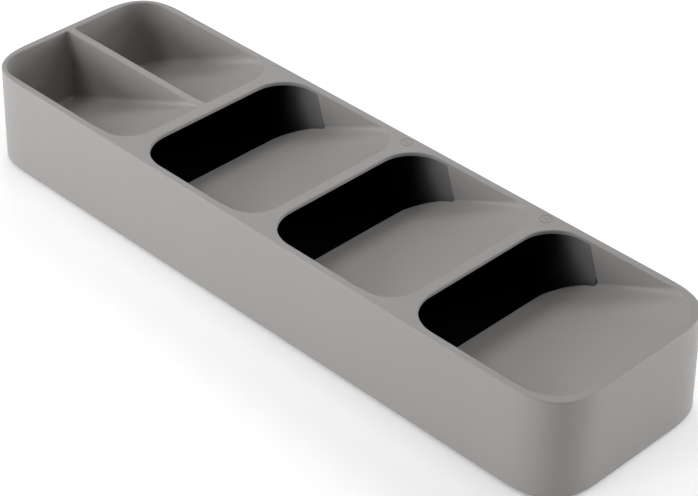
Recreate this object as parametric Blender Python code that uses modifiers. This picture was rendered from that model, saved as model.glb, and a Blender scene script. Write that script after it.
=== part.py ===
"""Drawer organizer insert: a ramped top moulding, a let-in base plate and four push-in rubber feet.

Metres, +Z up, +X across the width, +Y towards the two small bays. The origin is on the surface
that the feet stand on, under the middle of the plan.
"""
import math

import bmesh
import bpy

# Driving dimensions ----------------------------------------------------------------------------

FOOT_DROP = 0.002           # how far the feet hold the body off the surface
BODY_HEIGHT = 0.053
TOP = FOOT_DROP + BODY_HEIGHT
BOTTOM = FOOT_DROP

OUTER_HALF_X = 0.0549       # at the rim; the skirt is wider by the draft
OUTER_HALF_Y = 0.1975
OUTER_DRAFT = 0.001
OUTER_CORNER = 0.0321       # extent of the softened square corner
OUTER_SQUARENESS = 2.86     # 2 is a true arc, more is squarer
RIM_ROUNDING = 0.0009

RIM_WIDTH = 0.0039
BAY_HALF_X = OUTER_HALF_X - RIM_WIDTH
END_Y = OUTER_HALF_Y - 0.004

LAND_THICKNESS = 0.002
RAMP_THICKNESS = 0.0024     # measured straight down
LONG_SLOPE = 0.375
SMALL_SLOPE = 0.404

# Long bays, from the front: y of the rim end of the ramp and of the opening's far edge.
LONG_BAYS = {"front": (-END_Y, -0.1000), "middle": (-0.0948, -0.0088), "rear": (-0.0034, 0.0820)}
FRONT_END_CORNER = 0.0215
LONG_NEAR_CORNER = 0.0170
LONG_FAR_CORNER = 0.0195
SHUT_OFF_RUN = 0.008        # the low edge of a ramp lies this far in front of the opening's far edge

SMALL_NEAR_Y = 0.0885
SMALL_OUTER_CORNER = 0.0165
SMALL_INNER_CORNER = 0.002
DIVIDER_HALF = 0.002

BULKHEAD = 0.002            # wall under the low edge of each ramp
MOUTH_CORNER = 0.0150       # a ramp's low edge turns by this towards the side walls,
MOUTH_HALF_X = 0.0504       # then runs on along the wall: so far at the low edge, and less higher up
MOUTH_REACH_LOW = 0.0190
MOUTH_REACH_HIGH = 0.0156
POCKET_TOP_HALF_X = 0.0516
POCKET_FOOT_HALF_X = 0.0526
POCKET_END_INSET = 0.0033
POCKET_CORNER = 0.020

GAP = 0.0003
PLATE_THICKNESS = 0.002
REBATE_HALF_X = 0.0539
REBATE_HALF_Y = 0.1965
REBATE_CORNER = 0.024

HOOK_X = (-0.030, 0.0, 0.030)   # three hooks on the plate catch in slots in the rear end wall
HOOK_WIDTH = 0.010
HOOK_LEG = 0.0018
HOOK_REACH = 0.0014             # how far a hook enters its slot
HOOK_LOW = 0.0040               # underside and top of a hook, above the underside of the plate
HOOK_HIGH = 0.0052

POST_X = 0.049                  # two posts on the plate press into bosses under the front ramp
POST_Y = -0.150
POST_RADIUS = 0.0022
POST_HEIGHT = 0.012
BOSS_RADIUS = 0.0045
BOSS_TOP = TOP - 0.018          # inside the ramp; the bay is cut after the boss is joined

FOOT_X = 0.040
FOOT_Y = 0.172
FOOT_RADIUS = 0.0065
STEM_RADIUS = 0.0025
HEAD_RADIUS = 0.0035
HEAD_HEIGHT = 0.0012
FOOT_EDGE = 0.0005
ROUND_STEPS = 24

POSTS = {"post_left": -POST_X, "post_right": POST_X}
FEET = {"foot_front_left": (-FOOT_X, -FOOT_Y), "foot_front_right": (FOOT_X, -FOOT_Y),
        "foot_rear_left": (-FOOT_X, FOOT_Y), "foot_rear_right": (FOOT_X, FOOT_Y)}

CORNER_STEPS = 8
OVER = 0.002                # how far a cutter runs past what it cuts, or a joined piece into its neighbour
HAIR = 0.0002               # keeps two faces from lying in one plane
ABOVE = TOP + 0.006         # a level clear above the rim, for cutters
BELOW = BOTTOM - 0.004      # and clear below the skirt


# Scene and materials ---------------------------------------------------------------------------

for old in list(bpy.data.objects):
    bpy.data.objects.remove(old, do_unlink=True)

parts = bpy.data.collections.new("drawer_organizer_insert")
cutters = bpy.data.collections.new("cutters")
for made in (parts, cutters):
    bpy.context.scene.collection.children.link(made)


def material(name, colour, roughness):
    made = bpy.data.materials.new(name)
    made.use_nodes = True
    surface = made.node_tree.nodes["Principled BSDF"]
    surface.inputs["Base Color"].default_value = (*colour, 1.0)
    surface.inputs["Roughness"].default_value = roughness
    surface.inputs["Metallic"].default_value = 0.0
    return made


body_plastic = material("grey_polypropylene", (0.36, 0.35, 0.345), 0.55)
plate_plastic = material("charcoal_polypropylene", (0.018, 0.018, 0.020), 0.6)
foot_rubber = material("dark_rubber", (0.03, 0.03, 0.03), 0.8)


def add(name, mesh, surface=None):
    """Links a mesh as a named part, or as a hidden cutter if it has no material."""
    made = bpy.data.objects.new(name, mesh)
    if surface:
        mesh.materials.append(surface)
        parts.objects.link(made)
    else:
        cutters.objects.link(made)
        made.hide_render = True
        made.display_type = "WIRE"
    return made


def cut(target, tool, operation="DIFFERENCE"):
    modifier = target.modifiers.new(tool.name, "BOOLEAN")
    modifier.object = tool
    modifier.operation = operation
    modifier.solver = "EXACT"


# Outlines and lofts ----------------------------------------------------------------------------

def corner(x, y, radius, start, squareness=2.0):
    """A rounded corner's points, counter-clockwise, whose square corner is at x, y.

    start is the direction in degrees, a multiple of 90, from the corner's centre to its first point.
    """
    middle = math.radians(start + 45)
    centre_x = x - radius * math.copysign(1, math.cos(middle))
    centre_y = y - radius * math.copysign(1, math.sin(middle))
    points = []
    for step in range(CORNER_STEPS + 1):
        angle = math.radians(start + 90 * step / CORNER_STEPS)
        along_x = math.copysign(abs(math.cos(angle)) ** (2 / squareness), math.cos(angle))
        along_y = math.copysign(abs(math.sin(angle)) ** (2 / squareness), math.sin(angle))
        points.append((centre_x + radius * along_x, centre_y + radius * along_y))
    return points


def box_outline(low_x, high_x, low_y, high_y, radii, squareness=2.0):
    """A rounded rectangle; radii are for the +x+y, -x+y, -x-y and +x-y corners."""
    return (corner(high_x, high_y, radii[0], 0, squareness)
            + corner(low_x, high_y, radii[1], 90, squareness)
            + corner(low_x, low_y, radii[2], 180, squareness)
            + corner(high_x, low_y, radii[3], 270, squareness))


def loft(name, rings, surface=None):
    """Skins rings of (x, y, z) points, lowest ring first, and caps both ends."""
    made = bmesh.new()
    loops = [[made.verts.new(point) for point in ring] for ring in rings]
    for low, high in zip(loops, loops[1:]):
        for here in range(len(low)):
            following = (here + 1) % len(low)
            made.faces.new((low[here], low[following], high[following], high[here]))
    made.faces.new(reversed(loops[0]))
    made.faces.new(loops[-1])
    bmesh.ops.recalc_face_normals(made, faces=made.faces)
    mesh = bpy.data.meshes.new(name)
    made.to_mesh(mesh)
    made.free()
    return add(name, mesh, surface)


def level(outline, z):
    return [(x, y, z) for x, y in outline]


def side_profile(name, points, half_width):
    """A closed outline of (y, z) points, extruded across the width on both sides of the middle."""
    curve = bpy.data.curves.new(name, "CURVE")
    curve.dimensions = "2D"
    curve.fill_mode = "BOTH"
    curve.extrude = half_width
    spline = curve.splines.new("POLY")
    spline.points.add(len(points) - 1)
    for point, (y, z) in zip(spline.points, points):
        point.co = (y, z, 0.0, 1.0)
    spline.use_cyclic_u = True
    drawn = bpy.data.objects.new(name + "_curve", curve)
    cutters.objects.link(drawn)
    drawn.rotation_euler = (math.radians(90), 0.0, math.radians(90))
    bpy.context.view_layer.update()
    mesh = bpy.data.meshes.new_from_object(drawn.evaluated_get(bpy.context.evaluated_depsgraph_get()))
    mesh.transform(drawn.matrix_world)
    bpy.data.objects.remove(drawn, do_unlink=True)
    welded = bmesh.new()
    welded.from_mesh(mesh)
    bmesh.ops.remove_doubles(welded, verts=welded.verts, dist=1e-6)
    bmesh.ops.recalc_face_normals(welded, faces=welded.faces)
    welded.to_mesh(mesh)
    welded.free()
    return add(name, mesh)


def box(name, low, high):
    bpy.ops.mesh.primitive_cube_add(size=1)
    made = bpy.context.active_object
    made.name = name
    made.scale = [b - a for a, b in zip(low, high)]
    made.location = [(a + b) / 2 for a, b in zip(low, high)]
    return as_cutter(made)


def cylinder(name, radius, x, y, low_z, high_z):
    bpy.ops.mesh.primitive_cylinder_add(vertices=ROUND_STEPS, radius=radius, depth=high_z - low_z,
                                        location=(x, y, (low_z + high_z) / 2))
    made = bpy.context.active_object
    made.name = name
    return as_cutter(made)


def as_cutter(made):
    for holder in list(made.users_collection):
        holder.objects.unlink(made)
    cutters.objects.link(made)
    made.hide_render = True
    made.display_type = "WIRE"
    return made


# Bays: what is cut from above --------------------------------------------------------------------

def bay(name, low_x, high_x, near_y, far_y, radii, slope, opens_into_pocket):
    """The space above a ramp that falls from the rim at near_y towards far_y.

    A bay that opens into a pocket is rounded at its far corners only through the land; under the
    land it runs square into the pocket, so that the pocket's own wall shows.
    """
    outline = box_outline(low_x, high_x, near_y, far_y, radii)
    if opens_into_pocket:
        under_land = TOP - LAND_THICKNESS - 2 * HAIR
        square = OVER / 2
        lower = box_outline(low_x, high_x, near_y, far_y - square, (square, square, *radii[2:]))
        rings = [level(lower, BELOW), level(lower, under_land - 2 * HAIR),
                 level(outline, under_land), level(outline, ABOVE)]
    else:
        rings = [level(outline, BELOW), level(outline, ABOVE)]
    space = loft(name, rings)
    above_ramp = side_profile(name + "_above_ramp", [
        (near_y - OVER, TOP + slope * OVER), (far_y + OVER, TOP - slope * (far_y + OVER - near_y)),
        (far_y + OVER, ABOVE + OVER), (near_y - OVER, ABOVE + OVER)], OUTER_HALF_X)
    cut(space, above_ramp, "INTERSECT")
    return space


def long_bay(place):
    near_y, far_y = LONG_BAYS[place]
    near_corner = FRONT_END_CORNER if place == "front" else LONG_NEAR_CORNER
    radii = (LONG_FAR_CORNER, LONG_FAR_CORNER, near_corner, near_corner)
    return bay(place + "_bay", -BAY_HALF_X, BAY_HALF_X, near_y, far_y, radii, LONG_SLOPE, True)


def small_bay(side):
    ends = sorted((side * DIVIDER_HALF, side * BAY_HALF_X))
    radii = [SMALL_OUTER_CORNER if side > 0 else SMALL_INNER_CORNER,
             SMALL_INNER_CORNER if side > 0 else SMALL_OUTER_CORNER]
    name = "small_bay_right" if side > 0 else "small_bay_left"
    return bay(name, *ends, SMALL_NEAR_Y, END_Y, (*radii, *reversed(radii)), SMALL_SLOPE, False)


# Pockets: what is cut from below -----------------------------------------------------------------

def mirrored(half):
    """A half outline of points at +x, from high y to low y, closed with its mirror image."""
    return half + [(-x, y) for x, y in reversed(half)]


def pocket_outline(side_x, front, back, reach=0.0):
    """Plan of a pocket. front and back are low-edge y values, or None for the body's end walls."""
    if back is None:
        half = corner(side_x, OUTER_HALF_Y - POCKET_END_INSET, POCKET_CORNER, 0)[::-1]
    else:
        wall_x = MOUTH_HALF_X - BULKHEAD
        shoulder = back - MOUTH_REACH_LOW - BULKHEAD
        half = corner(wall_x, back - BULKHEAD, MOUTH_CORNER - BULKHEAD, 0)[::-1]
        half += [(wall_x, shoulder), (side_x, shoulder)]
    if front is None:
        half += corner(side_x, POCKET_END_INSET - OUTER_HALF_Y, POCKET_CORNER, 270)[::-1]
    else:
        half += [(side_x, front - reach), (MOUTH_HALF_X, front - reach),
                 *corner(MOUTH_HALF_X, front, MOUTH_CORNER, 0)]
    return mirrored(half)


def pocket(name, front, back, roof):
    """A pocket open underneath. roof lists the (y, z) points of its ceiling, front to back."""
    low_z = TOP - LONG_SLOPE * (LONG_BAYS["front"][1] - SHUT_OFF_RUN - LONG_BAYS["front"][0])
    high_z = TOP - LAND_THICKNESS
    rings = [level(pocket_outline(POCKET_FOOT_HALF_X, front, back, MOUTH_REACH_LOW), BELOW)]
    if front is not None:
        middle_x = (POCKET_TOP_HALF_X + POCKET_FOOT_HALF_X) / 2
        rings.append(level(pocket_outline(middle_x, front, back, MOUTH_REACH_LOW), low_z))
    rings.append(level(pocket_outline(POCKET_TOP_HALF_X, front, back, MOUTH_REACH_HIGH), high_z))
    space = loft(name, rings)
    (first_y, _), (last_y, _) = roof[0], roof[-1]
    below = BELOW - OVER
    under_roof = side_profile(name + "_under_roof", [(first_y, below), (last_y, below), *reversed(roof)],
                              OUTER_HALF_X)
    cut(space, under_roof, "INTERSECT")
    return space


def ceiling(near_y, slope, y):
    """Underside of the ramp that starts at near_y."""
    return TOP - slope * (y - near_y) - RAMP_THICKNESS


def roof_over(low_edge_y, near_y, slope, back_y):
    """Ceiling of the pocket behind a low edge: flat under the land, then under the next ramp."""
    flat = TOP - LAND_THICKNESS - HAIR / 4
    bend_y = near_y - (RAMP_THICKNESS - LAND_THICKNESS) / slope
    front_y = low_edge_y - MOUTH_REACH_LOW - MOUTH_CORNER
    return [(front_y, flat), (bend_y, flat), (back_y, ceiling(near_y, slope, back_y))]


# The parts -------------------------------------------------------------------------------------

def outer_body():
    def ring(z, spread, radius):
        return level(box_outline(-OUTER_HALF_X - spread, OUTER_HALF_X + spread,
                                 -OUTER_HALF_Y - spread, OUTER_HALF_Y + spread,
                                 [radius] * 4, OUTER_SQUARENESS), z)

    rings = [ring(BOTTOM, OUTER_DRAFT, OUTER_CORNER + OUTER_DRAFT)]
    for angle in (0, 45, 90):
        inset = RIM_ROUNDING * (1 - math.cos(math.radians(angle)))
        rise = RIM_ROUNDING * math.sin(math.radians(angle))
        rings.append(ring(TOP - RIM_ROUNDING + rise, -inset, OUTER_CORNER - inset))
    return loft("tray_body", rings, body_plastic)


def tray_body():
    body = outer_body()
    edges = {place: far_y - SHUT_OFF_RUN for place, (_, far_y) in LONG_BAYS.items()}
    past_end = OUTER_HALF_Y - POCKET_END_INSET + OVER / 2
    first_near = LONG_BAYS["front"][0]
    front_hollow = pocket("front_hollow", None, edges["front"], [
        (-past_end, TOP - RAMP_THICKNESS), (first_near, TOP - RAMP_THICKNESS),
        (edges["front"], ceiling(first_near, LONG_SLOPE, edges["front"]))])
    under_middle = pocket("pocket_under_middle_ramp", edges["front"], edges["middle"], roof_over(
        edges["front"], LONG_BAYS["middle"][0], LONG_SLOPE, edges["middle"]))
    under_rear = pocket("pocket_under_rear_ramp", edges["middle"], edges["rear"], roof_over(
        edges["middle"], LONG_BAYS["rear"][0], LONG_SLOPE, edges["rear"]))
    under_small = pocket("pocket_under_small_ramps", edges["rear"], None, roof_over(
        edges["rear"], SMALL_NEAR_Y, SMALL_SLOPE, past_end))
    for space in (front_hollow, under_middle, under_rear, under_small):
        cut(body, space)
    for name, x in POSTS.items():
        boss = cylinder(name + "_boss", BOSS_RADIUS, x, POST_Y, BOTTOM, BOSS_TOP)
        cut(body, boss, "UNION")
    for place in LONG_BAYS:
        cut(body, long_bay(place))
    for side in (-1, 1):
        cut(body, small_bay(side))

    rebate_top = BOTTOM + PLATE_THICKNESS + GAP
    rebate = box_outline(-REBATE_HALF_X, REBATE_HALF_X, -REBATE_HALF_Y, REBATE_HALF_Y, [REBATE_CORNER] * 4)
    cut(body, loft("plate_rebate", [level(rebate, BELOW - OVER / 2), level(rebate, rebate_top)]))
    for name, x in POSTS.items():
        bore_top = BOTTOM + POST_HEIGHT + GAP
        cut(body, cylinder(name + "_bore", POST_RADIUS + GAP, x, POST_Y, BELOW, bore_top))
    end_wall = OUTER_HALF_Y - POCKET_END_INSET
    for x in HOOK_X:
        half = HOOK_WIDTH / 2 + GAP
        cut(body, box("hook_slot", (x - half, end_wall - OVER, BOTTOM + HOOK_LOW - GAP),
                      (x + half, end_wall + HOOK_REACH + GAP, BOTTOM + HOOK_HIGH + GAP)))
    return body


def base_plate():
    outline = box_outline(GAP - REBATE_HALF_X, REBATE_HALF_X - GAP, GAP - REBATE_HALF_Y,
                          REBATE_HALF_Y - GAP, [REBATE_CORNER - GAP] * 4)
    plate_top = BOTTOM + PLATE_THICKNESS
    plate = loft("base_plate", [level(outline, BOTTOM), level(outline, plate_top)], plate_plastic)
    for name, x in POSTS.items():
        post = cylinder(name, POST_RADIUS, x, POST_Y, plate_top - OVER / 2, BOTTOM + POST_HEIGHT)
        cut(plate, post, "UNION")
    end_wall = OUTER_HALF_Y - POCKET_END_INSET
    leg_back = end_wall - 2 * GAP
    for x in HOOK_X:
        low_x, high_x = x - HOOK_WIDTH / 2, x + HOOK_WIDTH / 2
        cut(plate, box("hook_leg", (low_x, leg_back - HOOK_LEG, plate_top - OVER / 2),
                       (high_x, leg_back, BOTTOM + HOOK_HIGH - HAIR)), "UNION")
        cut(plate, box("hook_tongue", (low_x + HAIR, leg_back - HOOK_LEG + HAIR, BOTTOM + HOOK_LOW),
                       (high_x - HAIR, end_wall + HOOK_REACH, BOTTOM + HOOK_HIGH)), "UNION")
    for x, y in FEET.values():
        cut(plate, cylinder("foot_hole", STEM_RADIUS + GAP, x, y, BELOW, TOP))
    return plate


def foot(name, place):
    """A turned rubber foot: a disc under the plate, a stem through it and a retaining head."""
    disc_top = BOTTOM - GAP
    head_low = BOTTOM + PLATE_THICKNESS + GAP
    head_top = head_low + HEAD_HEIGHT
    profile = [(0.0, head_top), (HEAD_RADIUS - FOOT_EDGE, head_top), (HEAD_RADIUS, head_top - FOOT_EDGE),
               (HEAD_RADIUS, head_low), (STEM_RADIUS, head_low), (STEM_RADIUS, disc_top),
               (FOOT_RADIUS, disc_top), (FOOT_RADIUS, FOOT_EDGE), (FOOT_RADIUS - FOOT_EDGE, 0.0), (0.0, 0.0)]
    mesh = bpy.data.meshes.new(name)
    edges = [(here, here + 1) for here in range(len(profile) - 1)]
    mesh.from_pydata([(radius, 0.0, z) for radius, z in profile], edges, [])
    made = add(name, mesh, foot_rubber)
    made.location = (*place, 0.0)
    turned = made.modifiers.new("turned", "SCREW")
    turned.axis = "Z"
    turned.steps = turned.render_steps = ROUND_STEPS
    turned.use_merge_vertices = True
    turned.merge_threshold = 0.00001
    return made


tray_body()
base_plate()
for foot_name, foot_place in FEET.items():
    foot(foot_name, foot_place)
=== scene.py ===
"""Looks for the drawer organizer insert: a fine moulded body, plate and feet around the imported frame.

Metres, +Z up, +Y towards the two small bays. The frame gives the outer sizes; the moulding's own
dimensions are the named values below.
"""
import math

import bmesh
import bpy
from mathutils import Matrix, Vector


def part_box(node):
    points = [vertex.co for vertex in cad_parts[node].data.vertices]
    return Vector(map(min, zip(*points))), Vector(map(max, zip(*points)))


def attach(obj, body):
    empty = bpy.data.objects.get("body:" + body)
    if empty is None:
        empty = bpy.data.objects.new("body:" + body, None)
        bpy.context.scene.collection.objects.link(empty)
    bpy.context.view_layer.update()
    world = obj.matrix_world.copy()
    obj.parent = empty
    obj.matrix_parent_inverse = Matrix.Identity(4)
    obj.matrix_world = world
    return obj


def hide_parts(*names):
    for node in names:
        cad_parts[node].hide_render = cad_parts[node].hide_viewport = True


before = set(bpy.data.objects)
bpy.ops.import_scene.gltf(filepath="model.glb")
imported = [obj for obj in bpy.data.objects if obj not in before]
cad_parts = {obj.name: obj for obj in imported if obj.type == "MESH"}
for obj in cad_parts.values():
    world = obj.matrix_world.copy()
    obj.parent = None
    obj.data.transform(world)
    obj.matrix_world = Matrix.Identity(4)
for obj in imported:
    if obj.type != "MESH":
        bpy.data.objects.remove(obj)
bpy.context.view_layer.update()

# Driving dimensions ------------------------------------------------------------------------------

body_low, body_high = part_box("tray_body")
TOP = body_high.z
BOTTOM = body_low.z
DRAFT = 0.001                               # the skirt is wider than the rim by this on each side
RIM_X = body_high.x - DRAFT
RIM_Y = body_high.y - DRAFT
OUTER_CORNER = 0.0321
OUTER_SQUARENESS = 2.86
RIM_ROUND = 0.0009
SKIRT_ROUND = 0.0005

BAY_X = RIM_X - 0.0039
END_Y = RIM_Y - 0.004
EDGE_ROUND = 0.0007                         # on every opening, where a wall is tall enough
WALL_DRAFT = 0.012                          # inward run of a bay's wall for each metre down
LAND = 0.002
LIP = 0.0024                                # ramp thickness, measured straight down

LONG_SLOPE = 0.375
SMALL_SLOPE = 0.404
LONG_BAYS = {"front": (-END_Y, -0.1000), "middle": (-0.0948, -0.0088), "rear": (-0.0034, 0.0820)}
LONG_FILLET = 0.0004                        # ramp to side wall
SMALL_FILLET = 0.0030
FRONT_CORNER = 0.0215
LONG_NEAR_CORNER = 0.0170
LONG_FAR_CORNER = 0.0195
SHUT_OFF = 0.008                            # from a ramp's low edge to the far end of its bay
SMALL_NEAR_Y = 0.0885
SMALL_OUTER_CORNER = 0.0165
SMALL_INNER_CORNER = 0.0018
DIVIDER = 0.002

BULKHEAD = 0.002
POCKET_TOP_X = 0.0512
POCKET_FOOT_X = 0.0526
MOUTH_CORNER = 0.0165                       # a ramp's low edge turns by this towards the side walls
MOUTH_X = 0.0496                            # then runs on along the wall, as far as MOUTH_REACH says at each
                                            # height above the low edge
MOUTH_REACH = {0.0: 0.0190, 0.008: 0.0206, 0.010: 0.0213, 0.012: 0.0216, 0.030: 0.0156}
LEAST_RUN = 0.0005                          # of straight side wall between a mouth's corner and its reach
POCKET_END = 0.0033                         # thickness of the two end walls
POCKET_CORNER = 0.020
CEILING_OVERLAP = 0.03                      # a pocket's ceiling starts this far in front of its mouth
PAST_WALL = 0.001

PLATE = 0.002
GAP = 0.0003
REBATE_X = 0.0539
REBATE_Y = 0.1965
REBATE_CORNER = 0.024
POST_X = 0.049
POST_Y = -0.150
POST_RADIUS = 0.0022
POST_HEIGHT = 0.012
BOSS_RADIUS = 0.0045
BOSS_UNDER_RIM = 0.018
ROOTED = 0.001                              # how far posts and hooks start inside the plate
HOOK_X = (-0.030, 0.0, 0.030)
HOOK_WIDTH = 0.010
HOOK_LEG = 0.0018
HOOK_REACH = 0.0014
HOOK_LOW = 0.0040
HOOK_HIGH = 0.0052
HOOK_STEP = 0.0002                          # between a hook's leg and tongue, so no faces lie in one plane
SLOT_ENTRY = 0.002
FOOT_RADIUS = 0.0065
STEM_RADIUS = 0.0025
HEAD_RADIUS = 0.0035
HEAD_HEIGHT = 0.0012
FOOT_EDGE = 0.0005
HEAD_EDGE = 0.0004
DISC_EDGE = 0.0002
FOOT_HOLLOW = 0.0022                        # radius and depth of the sunk centre
HOLLOW_DEPTH = 0.0006
GRIP_RINGS = (0.0038, 0.0050)
GRIP_GROOVE = ((0.0, 0.0), (0.00015, 0.0003), (0.00045, 0.0003), (0.0006, 0.0))    # (outward, up)
FOOT_PLACES = {"foot_front_left": (-0.040, -0.172), "foot_front_right": (0.040, -0.172),
               "foot_rear_left": (-0.040, 0.172), "foot_rear_right": (0.040, 0.172)}
PLATE_EDGE = 0.0004
PANEL_X = 0.028                             # shallow sunk panel in the underside, between the feet
PANEL_Y = 0.160
PANEL_CORNER = 0.012
PANEL_DEPTH = 0.0006
PANEL_FLARE = 0.0004

SIGN_X = 0.0494                             # a small round sign on each of the two front lands
SIGN_RADIUS = 0.0032
SIGN_STROKE = 0.0004
SIGN_BAR = 0.0015
SIGN_DEPTH = 0.0002
SIGN_PAST_BAY = 0.0026

PITCH = LONG_BAYS["middle"][1] - LONG_BAYS["front"][1]
PAINTED_SHADE_START = 0.020                          # painted shade: pocket walls begin to darken this far before the low edge
# painted shade: distance over which the pocket walls go from grey to near black
PAINTED_SHADE_RUN = 0.042

LOW_EDGE = TOP - LONG_SLOPE * (LONG_BAYS["front"][1] - SHUT_OFF - LONG_BAYS["front"][0])

# Steps in round shapes, and small offsets that keep faces out of one plane -----------------------

ARC_STEPS = 20
ROUND_STEPS = 48
FOOT_STEPS = 64
SIDE_STEPS = 10
SWEEP_STEPS = 10
EDGE_TURNS = range(0, 91, 15)               # degrees through a rounded edge
CREEP = 0.05                                # where a corner has no room for the sweep, its rings close up
CLEAN_CUT = 0.0005
LIP_STEP = 0.0004
HAIR = 0.000005
SIDE_GAP = 0.0008
SLIVER = 0.00005
SQUARE_CORNER = 0.001
ABOVE = TOP + 0.006
BELOW = BOTTOM - 0.004


# Mesh helpers ------------------------------------------------------------------------------------

def linked(name, mesh):
    made = bpy.data.objects.new(name, mesh)
    bpy.context.scene.collection.objects.link(made)
    return made


def corner(x, y, radius, start, squareness=2.0):
    """Points of a rounded corner, counter-clockwise, whose square corner is at x, y."""
    middle = math.radians(start + 45)
    centre_x = x - radius * math.copysign(1, math.cos(middle))
    centre_y = y - radius * math.copysign(1, math.sin(middle))
    points = []
    for step in range(ARC_STEPS + 1):
        angle = math.radians(start + 90 * step / ARC_STEPS)
        run = math.copysign(abs(math.cos(angle)) ** (2 / squareness), math.cos(angle))
        rise = math.copysign(abs(math.sin(angle)) ** (2 / squareness), math.sin(angle))
        points.append((centre_x + radius * run, centre_y + radius * rise))
    return points


def rounded_box(low_x, high_x, low_y, high_y, radii, squareness=2.0):
    """Rounded rectangle; radii go round from the +x+y corner."""
    return (corner(high_x, high_y, radii[0], 0, squareness)
            + corner(low_x, high_y, radii[1], 90, squareness)
            + corner(low_x, low_y, radii[2], 180, squareness)
            + corner(high_x, low_y, radii[3], 270, squareness))


def level(outline, z):
    return [(x, y, z) for x, y in outline]


def loft(name, rings):
    """Closed skin over rings of points, lowest ring first."""
    made = bmesh.new()
    loops = [[made.verts.new(point) for point in ring] for ring in rings]
    for low, high in zip(loops, loops[1:]):
        for here in range(len(low)):
            after = (here + 1) % len(low)
            made.faces.new((low[here], low[after], high[after], high[here]))
    made.faces.new(reversed(loops[0]))
    made.faces.new(loops[-1])
    bmesh.ops.recalc_face_normals(made, faces=made.faces)
    mesh = bpy.data.meshes.new(name)
    made.to_mesh(mesh)
    made.free()
    return linked(name, mesh)


def side_profile(name, points, half_width):
    """A closed (y, z) outline, extruded across the width."""
    made = bmesh.new()
    left = [made.verts.new((-half_width, y, z)) for y, z in points]
    face = made.faces.new(left)
    grown = bmesh.ops.extrude_face_region(made, geom=[face])
    moved = [item for item in grown["geom"] if isinstance(item, bmesh.types.BMVert)]
    bmesh.ops.translate(made, verts=moved, vec=(2 * half_width, 0, 0))
    bmesh.ops.recalc_face_normals(made, faces=made.faces)
    mesh = bpy.data.meshes.new(name)
    made.to_mesh(mesh)
    made.free()
    return linked(name, mesh)


def block(name, low, high):
    return loft(name, [level([(low[0], low[1]), (high[0], low[1]), (high[0], high[1]), (low[0], high[1])], z)
                       for z in (low[2], high[2])])


def turned(name, profile, x=0.0, y=0.0, steps=ROUND_STEPS):
    """A solid of revolution about a vertical axis; profile is (radius, z) from bottom to top."""
    angles = [math.tau * step / steps for step in range(steps)]
    rings = []
    for radius, z in profile:
        rings.append([(x + radius * math.cos(angle), y + radius * math.sin(angle), z) for angle in angles])
    return loft(name, rings)


def rod(name, radius, x, y, low_z, high_z):
    return turned(name, [(radius, low_z), (radius, high_z)], x, y)


def combine(target, tools, operation="DIFFERENCE"):
    """Cuts, joins or intersects, then settles the result into the target's own mesh."""
    for tool in tools:
        modifier = target.modifiers.new(tool.name, "BOOLEAN")
        modifier.object = tool
        modifier.operation = operation
        modifier.solver = "MANIFOLD"
    settle(target)
    for tool in tools:
        bpy.data.objects.remove(tool, do_unlink=True)
    return target


def painted(piece, finishes, which=0):
    """Gives a solid its finishes and shows one of them all over; a Boolean keeps the slot numbers."""
    piece.data.materials.clear()
    for material in finishes:
        piece.data.materials.append(material)
    for face in piece.data.polygons:
        face.material_index = which
    return piece


def settle(target):
    bpy.context.view_layer.update()
    evaluated = target.evaluated_get(bpy.context.evaluated_depsgraph_get())
    mesh = bpy.data.meshes.new_from_object(evaluated)
    mesh.name = target.name
    target.modifiers.clear()
    target.data = mesh


def finish_mesh(target, sharp_degrees=32):
    """Welds slivers, shades smooth across rounded edges and keeps flat faces flat."""
    made = bmesh.new()
    made.from_mesh(target.data)
    bmesh.ops.remove_doubles(made, verts=made.verts, dist=2e-6)
    bmesh.ops.dissolve_degenerate(made, edges=made.edges, dist=1e-6)
    bmesh.ops.recalc_face_normals(made, faces=made.faces)
    made.to_mesh(target.data)
    made.free()
    target.data.shade_smooth()
    target.data.set_sharp_from_angle(angle=math.radians(sharp_degrees))
    weighted = target.modifiers.new("weighted", "WEIGHTED_NORMAL")
    weighted.mode = "FACE_AREA"
    weighted.weight = 90
    weighted.keep_sharp = True


def carry(piece, node):
    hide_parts(node)
    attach(piece, "root")


# Tray body ---------------------------------------------------------------------------------------

def outer_shell():
    def ring(z, spread):
        return level(rounded_box(-RIM_X - spread, RIM_X + spread, -RIM_Y - spread, RIM_Y + spread,
                                 [OUTER_CORNER + spread] * 4, OUTER_SQUARENESS), z)

    height = TOP - BOTTOM
    rings = []
    for angle in (0, 30, 60, 90):
        inset = SKIRT_ROUND * (1 - math.sin(math.radians(angle)))
        rise = SKIRT_ROUND * (1 - math.cos(math.radians(angle)))
        rings.append(ring(BOTTOM + rise, DRAFT * (1 - rise / height) - inset))
    for turn in EDGE_TURNS:
        angle = math.radians(turn)
        rise = TOP - RIM_ROUND + RIM_ROUND * math.sin(angle)
        inset = RIM_ROUND * (1 - math.cos(angle))
        rings.append(ring(rise, DRAFT * (TOP - rise) / height - inset))
    return loft("moulded_tray_body", rings)


def station(x, y, turn_x, turn_y, radius, degrees):
    """One point round a bay's plan: which corner it belongs to, and where on its arc it lies."""
    return {"x": x, "y": y, "turn": (turn_x, turn_y), "radius": radius, "angle": math.radians(degrees)}


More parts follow.
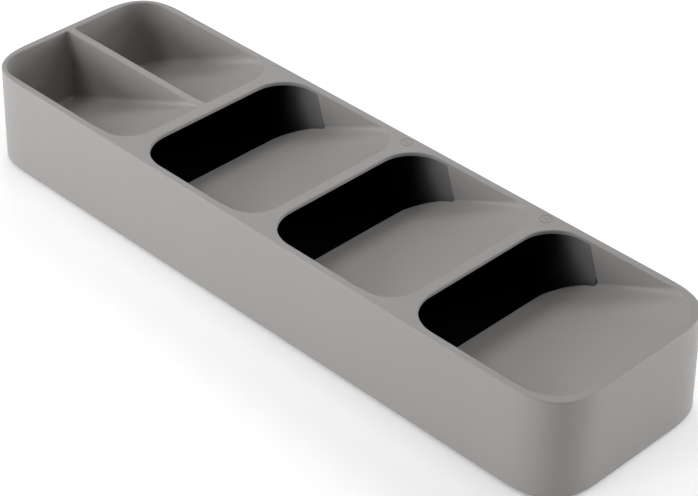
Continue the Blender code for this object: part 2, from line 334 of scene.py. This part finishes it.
def plan_stations(low_x, high_x, near_y, side_end, far_y, radii):
    """Stations round a bay, counter-clockwise from the far +X corner, with some along both sides."""
    corners = ((high_x, far_y, 1, 1), (low_x, far_y, -1, 1), (low_x, near_y, -1, -1), (high_x, near_y, 1, -1))
    round_trip = []
    for quarter, ((x, y, turn_x, turn_y), radius) in enumerate(zip(corners, radii)):
        round_trip.append([station(x, y, turn_x, turn_y, radius, 90 * (quarter + step / ARC_STEPS))
                           for step in range(ARC_STEPS + 1)])
    sides = []
    for x, turn_x, radius in ((high_x, 1, radii[3]), (low_x, -1, radii[2])):
        start = near_y + radius
        pace = (side_end - start) / SIDE_STEPS
        sides.append([station(x, start + pace * step, turn_x, 0, 0.0, 90 - 90 * turn_x)
                      for step in range(1, SIDE_STEPS + 1)])
    right, left = sides
    far_right, far_left, near_left, near_right = round_trip
    return [*far_right, *far_left, *reversed(left), *near_left, *near_right, *right]


def stand(spot, inset):
    """Plan position of a station when its outline is drawn in by inset."""
    radius = max(spot["radius"] - inset, SLIVER)
    turn_x, turn_y = spot["turn"]
    return (spot["x"] - (inset + radius) * turn_x + radius * math.cos(spot["angle"]),
            spot["y"] - (inset + radius) * turn_y + radius * math.sin(spot["angle"]))


def bay_space(name, low_x, high_x, near_y, far_y, radii, slope, fillet, into_pocket):
    """What a bay takes out of the body, down to a ramp that leaves the rim along the rounded near end.

    The ramp is flat across the middle and sweeps up to the side walls, because it falls from the near
    corners' arcs to the same straight line at the far end.
    """
    near_edge = near_y - CLEAN_CUT
    upper = plan_stations(low_x, high_x, near_edge, far_y - max(radii[:2]) - SIDE_GAP, far_y, radii)
    lower = upper
    if into_pocket:
        square = (SQUARE_CORNER, SQUARE_CORNER, *radii[2:])
        lower = plan_stations(low_x, high_x, near_edge, far_y - SHUT_OFF / 2, far_y - SQUARE_CORNER, square)
    near_left, near_right = radii[2:]
    drop = slope * (far_y - near_y)
    sweep = max(near_left, near_right)

    def ramp(x, y):
        if x > (low_x + high_x) / 2:
            radius, beyond = near_right, x - high_x + near_right
        else:
            radius, beyond = near_left, low_x + near_left - x
        beyond = min(max(beyond, 0.0), radius)
        start_y = near_y + radius - math.sqrt(radius ** 2 - beyond ** 2)
        return TOP - drop * (y - start_y) / (far_y - start_y)

    columns = []
    for low_spot, top_spot in zip(lower, upper):
        wall = max(TOP - ramp(*stand(low_spot, 0.0)), 0.0)
        edge = min(EDGE_ROUND, wall / 2)
        turns_in = low_spot["turn"][0] * (low_x + high_x) < 0
        room = max(fillet, min(near_left, near_right)) if turns_in and near_left != near_right else sweep
        column = []
        for step in range(SWEEP_STEPS + 1):
            inset = sweep * (1 - math.cos(math.pi / 2 * (1 - step / SWEEP_STEPS)))
            inset = min(inset, room + CREEP * max(inset - room, 0.0))
            x, y = stand(low_spot, inset + WALL_DRAFT * wall)
            short = max(fillet - inset, 0.0)
            lift = fillet - math.sqrt(fillet ** 2 - short ** 2)
            column.append((x, y, ramp(x, y) + min(lift, wall - edge)))
        rising = [column[-1]]
        if into_pocket:
            rising.append((*stand(low_spot, 0.0), TOP - LAND - 2 * LIP_STEP))
            rising.append((*stand(top_spot, 0.0), TOP - LAND - LIP_STEP))
        for angle in EDGE_TURNS:
            tilt = math.radians(angle)
            rising.append((*stand(top_spot, -edge * (1 - math.cos(tilt))),
                           TOP - edge + edge * math.sin(tilt) + HAIR))
        rising.append((*rising[-1][:2], ABOVE))
        for x, y, z in rising[1:]:
            column.append((x, y, max(z, column[-1][2] + HAIR / 2)))
        columns.append(column)
    return loft(name, [list(ring) for ring in zip(*columns)])


def long_bay(place):
    near_y, far_y = LONG_BAYS[place]
    near_corner = FRONT_CORNER if place == "front" else LONG_NEAR_CORNER
    radii = (LONG_FAR_CORNER, LONG_FAR_CORNER, near_corner, near_corner)
    return bay_space(place + "_bay", -BAY_X, BAY_X, near_y, far_y, radii, LONG_SLOPE, LONG_FILLET, True)


def small_bay(side):
    low_x, high_x = sorted((side * DIVIDER, side * BAY_X))
    outer, inner = SMALL_OUTER_CORNER, SMALL_INNER_CORNER
    radii = (outer, inner, inner, outer) if side > 0 else (inner, outer, outer, inner)
    return bay_space("small_bay", low_x, high_x, SMALL_NEAR_Y, END_Y, radii, SMALL_SLOPE, SMALL_FILLET, False)


def pocket_outline(side_x, front, back, reach=0.0):
    """Plan of a pocket between the low edges of two ramps, or an end wall where one is None."""
    if back is None:
        half = corner(side_x, RIM_Y - POCKET_END, POCKET_CORNER, 0)[::-1]
    else:
        shoulder = back - max(MOUTH_REACH.values()) - BULKHEAD
        half = corner(MOUTH_X - BULKHEAD, back - BULKHEAD, MOUTH_CORNER - BULKHEAD, 0)[::-1]
        half += [(MOUTH_X - BULKHEAD, shoulder), (side_x, shoulder)]
    if front is None:
        half += corner(side_x, POCKET_END - RIM_Y, POCKET_CORNER, 270)[::-1]
    else:
        turn = min(MOUTH_CORNER, reach - LEAST_RUN)
        half += [(side_x, front - reach), (MOUTH_X, front - reach), *corner(MOUTH_X, front, turn, 0)]
    return half + [(-x, y) for x, y in reversed(half)]


def under_ramp(near_y, slope, y):
    return TOP - slope * (y - near_y) - LIP


def pocket_space(name, front, back, roof):
    """A pocket open underneath, under the (y, z) ceiling points of roof, front to back."""
    def side_x(z):
        return POCKET_FOOT_X + (POCKET_TOP_X - POCKET_FOOT_X) * (z - BOTTOM) / (TOP - LAND - BOTTOM)

    reaches = list(MOUTH_REACH.values())
    rings = [level(pocket_outline(side_x(BELOW), front, back, reaches[0]), BELOW)]
    if front is not None:
        for rise, reach in MOUTH_REACH.items():
            rings.append(level(pocket_outline(side_x(LOW_EDGE + rise), front, back, reach), LOW_EDGE + rise))
    rings.append(level(pocket_outline(side_x(ABOVE), front, back, reaches[-1]), ABOVE))
    floor = BELOW - 0.002
    ends = [(roof[0][0], floor), (roof[-1][0], floor)]
    under_roof = side_profile(name + "_roof", [*ends, *reversed(roof)], RIM_X)
    return combine(loft(name, rings), [under_roof], "INTERSECT")


def stepped_roof(mouth_y, near_y, slope, back_y):
    flat = TOP - LAND - SLIVER
    bend_y = near_y - (LIP - LAND) / slope
    return [(mouth_y - CEILING_OVERLAP, flat), (bend_y, flat), (back_y, under_ramp(near_y, slope, back_y))]


def pocket_spaces():
    edges = {place: far_y - SHUT_OFF for place, (_, far_y) in LONG_BAYS.items()}
    end = RIM_Y - POCKET_END + PAST_WALL
    first = LONG_BAYS["front"][0]
    roofs = [("front_hollow", None, edges["front"],
              [(-end, TOP - LIP), (first, TOP - LIP),
               (edges["front"], under_ramp(first, LONG_SLOPE, edges["front"]))]),
             ("front_pocket", edges["front"], edges["middle"],
              stepped_roof(edges["front"], LONG_BAYS["middle"][0], LONG_SLOPE, edges["middle"])),
             ("middle_pocket", edges["middle"], edges["rear"],
              stepped_roof(edges["middle"], LONG_BAYS["rear"][0], LONG_SLOPE, edges["rear"])),
             ("rear_pocket", edges["rear"], None,
              stepped_roof(edges["rear"], SMALL_NEAR_Y, SMALL_SLOPE, end))]
    return [pocket_space(*spec) for spec in roofs]


def sign_groove(x, y):
    """A shallow round sign: a ring with a short bar in it, sunk into a land."""
    circle = [(math.cos(math.tau * step / ROUND_STEPS), math.sin(math.tau * step / ROUND_STEPS))
              for step in range(ROUND_STEPS)]
    low, high = TOP - SIGN_DEPTH, ABOVE
    inner, outer = SIGN_RADIUS - SIGN_STROKE, SIGN_RADIUS
    loops = [[(x + radius * run, y + radius * rise, z) for run, rise in circle]
             for radius, z in ((inner, low), (outer, low), (outer, high), (inner, high))]
    made = bmesh.new()
    verts = [[made.verts.new(point) for point in loop] for loop in loops]
    for here, after in zip(verts, verts[1:] + verts[:1]):
        for step in range(ROUND_STEPS):
            around = (step + 1) % ROUND_STEPS
            made.faces.new((here[step], here[around], after[around], after[step]))
    bmesh.ops.recalc_face_normals(made, faces=made.faces)
    mesh = bpy.data.meshes.new("sign_ring")
    made.to_mesh(mesh)
    made.free()
    half = SIGN_STROKE / 2
    bar = block("sign_bar", (x - half, y - SIGN_BAR, low), (x + half, y + SIGN_BAR, high))
    return [linked("sign_ring", mesh), bar]


def tray_body():
    # The second finish is painted shade, for the faces that the pockets cut.
    finishes = (grey_plastic, pocket_painted_shade)
    body = painted(outer_shell(), finishes)
    combine(body, [painted(space, finishes, 1) for space in pocket_spaces()])
    bosses = [rod("boss", BOSS_RADIUS, side * POST_X, POST_Y, BOTTOM, TOP - BOSS_UNDER_RIM)
              for side in (-1, 1)]
    combine(body, [painted(boss, finishes) for boss in bosses], "UNION")
    spaces = [long_bay(place) for place in LONG_BAYS] + [small_bay(side) for side in (-1, 1)]
    rebate = rounded_box(-REBATE_X, REBATE_X, -REBATE_Y, REBATE_Y, [REBATE_CORNER] * 4)
    spaces.append(loft("rebate", [level(rebate, BELOW - 0.001), level(rebate, BOTTOM + PLATE + GAP)]))
    spaces += [rod("bore", POST_RADIUS + GAP, side * POST_X, POST_Y, BELOW, BOTTOM + POST_HEIGHT + GAP)
               for side in (-1, 1)]
    end_wall = RIM_Y - POCKET_END
    half = HOOK_WIDTH / 2 + GAP
    spaces += [block("slot", (x - half, end_wall - SLOT_ENTRY, BOTTOM + HOOK_LOW - GAP),
                     (x + half, end_wall + HOOK_REACH + GAP, BOTTOM + HOOK_HIGH + GAP)) for x in HOOK_X]
    for place in ("front", "middle"):
        spaces += sign_groove(SIGN_X, LONG_BAYS[place][1] + SIGN_PAST_BAY)
    combine(body, [painted(space, finishes) for space in spaces])
    finish_mesh(body)
    return body


# Base plate and feet -----------------------------------------------------------------------------

def base_plate():
    """Flat plate with softened edges, a sunk panel underneath, two posts and three hooks."""
    def ring(z, inset):
        return level(rounded_box(GAP - REBATE_X + inset, REBATE_X - GAP - inset, GAP - REBATE_Y + inset,
                                 REBATE_Y - GAP - inset, [REBATE_CORNER - GAP - inset] * 4), z)

    plate_top = BOTTOM + PLATE
    plate = loft("snap_in_base_plate", [ring(BOTTOM, PLATE_EDGE), ring(BOTTOM + PLATE_EDGE, 0.0),
                                        ring(plate_top - PLATE_EDGE, 0.0), ring(plate_top, PLATE_EDGE)])
    raised = [rod("post", POST_RADIUS, side * POST_X, POST_Y, plate_top - ROOTED, BOTTOM + POST_HEIGHT)
              for side in (-1, 1)]
    end_wall = RIM_Y - POCKET_END
    leg_back = end_wall - 2 * GAP
    for x in HOOK_X:
        low_x, high_x = x - HOOK_WIDTH / 2, x + HOOK_WIDTH / 2
        raised.append(block("hook_leg", (low_x, leg_back - HOOK_LEG, plate_top - ROOTED),
                            (high_x, leg_back, BOTTOM + HOOK_HIGH - HOOK_STEP)))
        raised.append(block("hook_tongue", (low_x + HOOK_STEP, leg_back - HOOK_LEG + GAP, BOTTOM + HOOK_LOW),
                            (high_x - HOOK_STEP, end_wall + HOOK_REACH, BOTTOM + HOOK_HIGH)))
    combine(plate, raised, "UNION")
    panel = [level(rounded_box(-PANEL_X - spread, PANEL_X + spread, -PANEL_Y - spread, PANEL_Y + spread,
                               [PANEL_CORNER + spread] * 4), z)
             for z, spread in ((BELOW, PANEL_FLARE), (BOTTOM, PANEL_FLARE), (BOTTOM + PANEL_DEPTH, 0.0))]
    holes = [loft("sunk_panel", panel)]
    for x, y in FOOT_PLACES.values():
        holes.append(rod("foot_hole", STEM_RADIUS + GAP, x, y, BELOW, TOP))
    combine(plate, holes)
    finish_mesh(plate)
    return painted(plate, [charcoal_plastic])


def rubber_foot(name, x, y):
    """A turned foot: a round-edged disc with a sunk centre and two grip rings, on a stem with a head."""
    disc_top = BOTTOM - GAP
    head_low = BOTTOM + PLATE + GAP
    head_top = head_low + HEAD_HEIGHT
    quarter = [math.radians(turn) for turn in (0, 22.5, 45, 67.5, 90)]
    outer = [(FOOT_RADIUS - FOOT_EDGE * (1 - math.sin(turn)), FOOT_EDGE * (1 - math.cos(turn)))
             for turn in quarter]
    rings = [(radius + outward, up) for radius in GRIP_RINGS for outward, up in GRIP_GROOVE]
    profile = [(DISC_EDGE, HOLLOW_DEPTH), (FOOT_HOLLOW, HOLLOW_DEPTH), (FOOT_HOLLOW + HEAD_EDGE, 0.0),
               *rings, *outer,
               (FOOT_RADIUS, disc_top - DISC_EDGE), (FOOT_RADIUS - DISC_EDGE, disc_top),
               (STEM_RADIUS, disc_top), (STEM_RADIUS, head_low), (HEAD_RADIUS, head_low),
               (HEAD_RADIUS, head_top - HEAD_EDGE), (HEAD_RADIUS - HEAD_EDGE, head_top),
               (DISC_EDGE, head_top)]
    foot = turned(name, profile, x, y, FOOT_STEPS)
    finish_mesh(foot, 40)
    return painted(foot, [foot_rubber])


# Finishes ----------------------------------------------------------------------------------------

def effect_group(name, inputs, outputs):
    """An empty node group; inputs and outputs are {socket name: (kind, default)}."""
    group = bpy.data.node_groups.new(name, "ShaderNodeTree")
    for label, (kind, default) in inputs.items():
        socket = group.interface.new_socket(label, in_out="INPUT", socket_type="NodeSocket" + kind)
        socket.default_value = default
    for label, kind in outputs.items():
        group.interface.new_socket(label, in_out="OUTPUT", socket_type="NodeSocket" + kind)
    return group, group.nodes.new("NodeGroupInput"), group.nodes.new("NodeGroupOutput")


def node(tree, kind, **settings):
    made = tree.nodes.new("ShaderNode" + kind)
    for key, value in settings.items():
        setattr(made, key, value)
    return made


def noise(tree, place, scale, detail=2.0, roughness=0.5):
    made = node(tree, "TexNoise")
    made.inputs["Detail"].default_value = detail
    made.inputs["Roughness"].default_value = roughness
    tree.links.new(place, made.inputs["Vector"])
    if isinstance(scale, (int, float)):
        made.inputs["Scale"].default_value = scale
    else:
        tree.links.new(scale, made.inputs["Scale"])
    return made.outputs["Fac"]


def arithmetic(tree, operation, first, second):
    made = node(tree, "Math", operation=operation)
    for socket, value in zip(made.inputs, (first, second)):
        if isinstance(value, (int, float)):
            socket.default_value = value
        else:
            tree.links.new(value, socket)
    return made.outputs[0]


def spread_out(tree, value, low, high, to_low=0.0, to_high=1.0):
    made = node(tree, "MapRange", interpolation_type="SMOOTHSTEP")
    for label, number in (("From Min", low), ("From Max", high), ("To Min", to_low), ("To Max", to_high)):
        made.inputs[label].default_value = number
    tree.links.new(value, made.inputs["Value"])
    return made.outputs["Result"]


def spark_grain():
    """Height of a spark-eroded mould surface: fine pits over a faint long-wave ripple."""
    group, given, result = effect_group(
        "spark_grain",
        {"Pit Scale": ("Float", 3000.0), "Ripple Scale": ("Float", 160.0), "Ripple": ("Float", 0.3)},
        {"Height": "Float"})
    place = node(group, "TexCoord").outputs["Object"]
    pits = noise(group, place, given.outputs["Pit Scale"], 3.0, 0.6)
    ripple = noise(group, place, given.outputs["Ripple Scale"], 1.0)
    height = arithmetic(group, "ADD", pits, arithmetic(group, "MULTIPLY", ripple, given.outputs["Ripple"]))
    group.links.new(height, result.inputs["Height"])
    return group


def colour_drift():
    """A plastic's own unevenness: slow flow shades and fine flecks round the given colour."""
    group, given, result = effect_group(
        "colour_drift",
        {"Colour": ("Color", (0.5, 0.5, 0.5, 1)), "Flow": ("Float", 0.05), "Fleck": ("Float", 0.04)},
        {"Colour": "Color"})
    place = node(group, "TexCoord").outputs["Object"]
    flow = arithmetic(group, "SUBTRACT", noise(group, place, 14.0, 3.0), 0.5)
    fleck = arithmetic(group, "SUBTRACT", noise(group, place, 1800.0, 2.0), 0.5)
    change = arithmetic(group, "ADD", arithmetic(group, "MULTIPLY", flow, given.outputs["Flow"]),
                  arithmetic(group, "MULTIPLY", fleck, given.outputs["Fleck"]))
    shade = arithmetic(group, "ADD", change, 1.0)
    tinted = node(group, "VectorMath", operation="SCALE")
    group.links.new(given.outputs["Colour"], tinted.inputs[0])
    group.links.new(shade, tinted.inputs["Scale"])
    group.links.new(tinted.outputs[0], result.inputs["Colour"])
    return group


def handling():
    """Roughness of a handled surface: broad polished patches, worn smoother along fine rubs."""
    group, given, result = effect_group(
        "handling", {"Roughness": ("Float", 0.5), "Patches": ("Float", 0.06), "Rubs": ("Float", 0.04)},
        {"Roughness": "Float"})
    place = node(group, "TexCoord").outputs["Object"]
    stretched = node(group, "Mapping")
    stretched.inputs["Scale"].default_value = (900.0, 60.0, 60.0)
    stretched.inputs["Rotation"].default_value = (0.0, 0.0, 0.5)
    group.links.new(place, stretched.inputs["Vector"])
    patches = arithmetic(group, "SUBTRACT", noise(group, place, 32.0, 2.0), 0.5)
    rubs = spread_out(group, noise(group, stretched.outputs[0], 1.0, 1.0), 0.58, 0.75)
    polish = arithmetic(group, "SUBTRACT", arithmetic(group, "MULTIPLY", patches, given.outputs["Patches"]),
                  arithmetic(group, "MULTIPLY", rubs, given.outputs["Rubs"]))
    group.links.new(arithmetic(group, "ADD", given.outputs["Roughness"], polish), result.inputs["Roughness"])
    return group


def finish(name, colour, roughness, specular, grain, drift, wear, bump):
    """A moulded material from the three shared effects; returns it and its colour output."""
    material = bpy.data.materials.new(name)
    material.use_nodes = True
    tree = material.node_tree
    shader = tree.nodes["Principled BSDF"]
    shader.inputs["Specular IOR Level"].default_value = specular

    def effect(group, values):
        placed = node(tree, "Group", node_tree=group)
        for label, value in values.items():
            placed.inputs[label].default_value = value
        return placed.outputs[0]

    shade = effect(effects["colour_drift"], {"Colour": (*colour, 1), **drift})
    tree.links.new(shade, shader.inputs["Base Color"])
    tree.links.new(effect(effects["handling"], {"Roughness": roughness, **wear}), shader.inputs["Roughness"])
    relief = node(tree, "Bump")
    relief.inputs["Strength"].default_value = bump
    relief.inputs["Distance"].default_value = 0.0001
    tree.links.new(effect(effects["spark_grain"], grain), relief.inputs["Height"])
    tree.links.new(relief.outputs[0], shader.inputs["Normal"])
    return material, shade


def paint_shade_into_pocket(material, shade, painted_shade_colour):
    """Painted shade: pocket walls go from the body's grey at the mouth to near black deeper in."""
    tree = material.node_tree
    split = node(tree, "SeparateXYZ")
    tree.links.new(node(tree, "TexCoord").outputs["Object"], split.inputs[0])
    start = LONG_BAYS["front"][1] - SHUT_OFF - PAINTED_SHADE_START
    past_mouth = node(tree, "Math", operation="WRAP")
    past_mouth.inputs[1].default_value = PITCH
    past_mouth.inputs[2].default_value = 0.0
    tree.links.new(arithmetic(tree, "SUBTRACT", split.outputs["Y"], start), past_mouth.inputs[0])
    depth = spread_out(tree, past_mouth.outputs[0], 0.0, PAINTED_SHADE_RUN)
    blend = node(tree, "Mix", data_type="RGBA")
    blend.inputs["B"].default_value = (*painted_shade_colour, 1)
    tree.links.new(depth, blend.inputs["Factor"])
    tree.links.new(shade, blend.inputs["A"])
    tree.links.new(blend.outputs["Result"], tree.nodes["Principled BSDF"].inputs["Base Color"])
    return material


effects = {"spark_grain": spark_grain(), "colour_drift": colour_drift(), "handling": handling()}
moulded = {"grain": {}, "drift": {}, "wear": {}, "bump": 0.25}
grey_plastic, _ = finish("moulded_grey", (0.276, 0.266, 0.260), 0.5, 0.5, **moulded)
# Pocket faces get painted shade: a darker, less glossy copy of the moulded grey, going to near black deeper
# in.
pocket_painted_shade = paint_shade_into_pocket(*finish("pocket_grey_painted_shade", (0.170, 0.168, 0.170), 0.8, 0.05, **moulded),
                                    (0.008, 0.007, 0.014))
charcoal_plastic, _ = finish("plate_charcoal", (0.004, 0.004, 0.006), 0.7, 0.05,
                             {"Pit Scale": 2200.0}, {"Flow": 0.2, "Fleck": 0.2}, {}, 0.4)
foot_rubber, _ = finish("soft_black_rubber", (0.020, 0.020, 0.021), 0.8, 0.3,
                        {"Pit Scale": 5000.0, "Ripple": 0.1}, {"Fleck": 0.3}, {"Rubs": 0.0}, 0.5)
floor_card, _ = finish("floor_card", (0.90, 0.90, 0.90), 0.9, 0.1,
                       {"Pit Scale": 900.0}, {"Flow": 0.01, "Fleck": 0.01}, {}, 0.1)

carry(tray_body(), "tray_body")
carry(base_plate(), "base_plate")
for foot_name, place in FOOT_PLACES.items():
    carry(rubber_foot("rubber_" + foot_name, *place), foot_name)

# Stage, light and camera -------------------------------------------------------------------------

CAMERA_AZIMUTH = -44.896
CAMERA_ELEVATION = 35.778
CAMERA_ROLL = 0.561
CAMERA_DISTANCE = 1.11377
CAMERA_TARGET = Vector((0.00669, -0.00987, 0.01228 + BOTTOM))
CAMERA_LENS = 117.22


def camera():
    turn, lift, roll = (math.radians(value) for value in (CAMERA_AZIMUTH, CAMERA_ELEVATION, CAMERA_ROLL))
    back = Vector((math.sin(turn) * math.cos(lift), -math.cos(turn) * math.cos(lift), math.sin(lift)))
    across = Vector((math.cos(turn), math.sin(turn), 0.0))
    up = back.cross(across)
    right = math.cos(roll) * across + math.sin(roll) * up
    upward = math.cos(roll) * up - math.sin(roll) * across
    lens = bpy.data.cameras.new("view")
    lens.lens = CAMERA_LENS
    lens.clip_start = 0.05
    eye = linked("view", lens)
    place = Matrix((right, upward, back)).transposed().to_4x4()
    place.translation = CAMERA_TARGET + back * CAMERA_DISTANCE
    eye.matrix_world = place
    bpy.context.scene.camera = eye


camera()
bpy.context.scene.view_settings.view_transform = "Standard"

FLOOR_GLOW = 0.21                           # a lit table top
FAR_GLOW = 0.8                              # past the light of the panels, so the floor stays white
GLOW_CHANGE = (0.5, 1.6)                    # distances from the centre between which it rises
FLOOR_HALF = 12.0
SUBJECT = Vector((0.0, 0.0, TOP / 2))
SOFTBOXES = {
    # name: (azimuth, elevation, distance, side, watts); azimuth 0 stands at -Y and -90 at -X
    "right_panel": (65, 12, 1.3, 0.5, 5.0),
    "near_right_panel": (45, 12, 1.3, 0.5, 5.8),
    "raised_right_panel": (45, 40, 1.3, 0.5, 3.6),
    "left_panel": (-100, 12, 1.3, 0.5, 6.2),
    "rear_left_panel": (-130, 12, 1.3, 0.5, 2.4),
    "far_left_panel": (-155, 12, 1.3, 0.5, 3.9),
    "raised_left_panel": (-130, 40, 1.3, 0.5, 4.8),
    "rear_panel": (140, 40, 1.3, 0.6, 3.6),
    "front_overhead": (0, 65, 1.3, 0.6, 1.8),
    "overhead": (0, 90, 1.3, 0.8, 4.2),
}


def softbox(name, azimuth, elevation, distance, side, watts):
    turn, lift = math.radians(azimuth), math.radians(elevation)
    away = Vector((math.sin(turn) * math.cos(lift), -math.cos(turn) * math.cos(lift), math.sin(lift)))
    lamp = bpy.data.lights.new(name, "AREA")
    lamp.shape = "SQUARE"
    lamp.size = side
    lamp.energy = watts
    placed = linked(name, lamp)
    placed.location = SUBJECT + away * distance
    placed.rotation_euler = away.to_track_quat("Z", "Y").to_euler()
    return placed


for name, setting in SOFTBOXES.items():
    softbox(name, *setting)


def floor():
    made = bmesh.new()
    bmesh.ops.create_grid(made, x_segments=1, y_segments=1, size=FLOOR_HALF)
    mesh = bpy.data.meshes.new("floor")
    made.to_mesh(mesh)
    made.free()
    return linked("floor", mesh)


ground = floor()
ground.data.materials.append(floor_card)
card = floor_card.node_tree
lit = card.nodes["Principled BSDF"]
lit.inputs["Emission Color"].default_value = (1.0, 1.0, 1.0, 1.0)
from_centre = node(card, "VectorMath", operation="LENGTH")
card.links.new(node(card, "TexCoord").outputs["Object"], from_centre.inputs[0])
card.links.new(spread_out(card, from_centre.outputs["Value"], *GLOW_CHANGE, FLOOR_GLOW, FAR_GLOW),
               lit.inputs["Emission Strength"])
